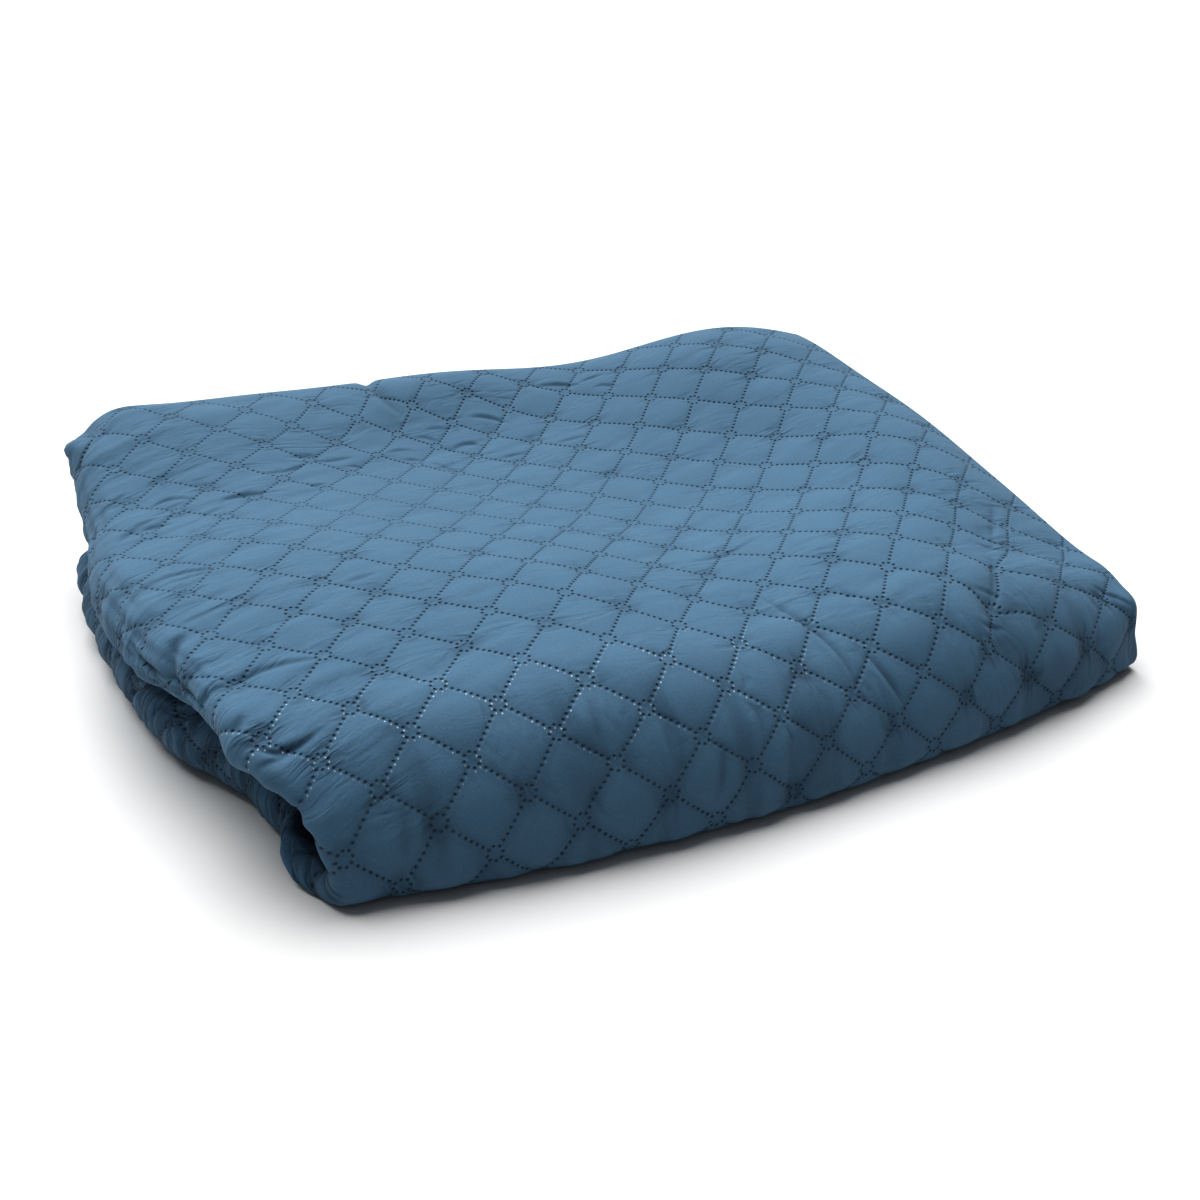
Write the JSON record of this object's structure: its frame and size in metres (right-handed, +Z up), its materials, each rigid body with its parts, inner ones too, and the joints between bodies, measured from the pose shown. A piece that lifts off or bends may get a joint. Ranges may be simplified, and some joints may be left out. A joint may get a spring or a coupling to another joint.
{
  "type": "folded quilted sofa cover",
  "caption": "Quilted cloth sofa cover with a diamond pattern, folded into a soft pad with a rounded front bend and rolled rims on one side, lying flat.",
  "frame": {"origin": "on the ground under the middle of the folded pad's outline", "axes": "+X along the front bend, from the rolled rims to the cut ends; +Y from the front bend to the back edges; +Z up through the layers"},
  "size_m": [0.5338, 0.4606, 0.1092],
  "materials": {
    "quilted_cloth": "matt brushed microfibre with dotted weld lines in diamonds"
  },
  "bodies": {
    "root": {"quilted_cover": "quilted_cloth"}
  },
  "joints": []
}
